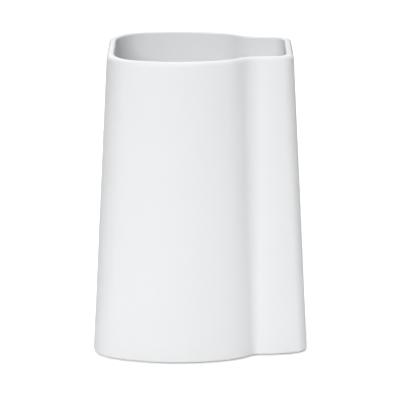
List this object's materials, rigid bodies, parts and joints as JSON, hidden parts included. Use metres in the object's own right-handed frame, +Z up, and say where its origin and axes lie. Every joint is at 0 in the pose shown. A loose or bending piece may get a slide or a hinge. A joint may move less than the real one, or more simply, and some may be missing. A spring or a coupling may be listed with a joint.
{
  "type": "pen holder cup",
  "caption": "Open desk cup for pens with a large and a small rounded lobe merged side by side, walls sloping outward to a wider foot, a fitted floor plate and a non-slip pad.",
  "frame": {"origin": "centre of the box of the cup at the surface it stands on", "axes": "+Z up towards the mouth, +X towards the small lobe, -Y towards the front, and the cup is the same front and back"},
  "size_m": [0.078, 0.0636, 0.11],
  "materials": {
    "shell_white": "fine satin moulded plastic, neutral white",
    "floor_white": "plain moulded plastic, neutral white",
    "pad_grey": "matt elastomer with a fine grain, grey"
  },
  "bodies": {
    "root": {"shell": "shell_white", "floor_plate": "floor_white", "non_slip_pad": "pad_grey"}
  },
  "joints": []
}
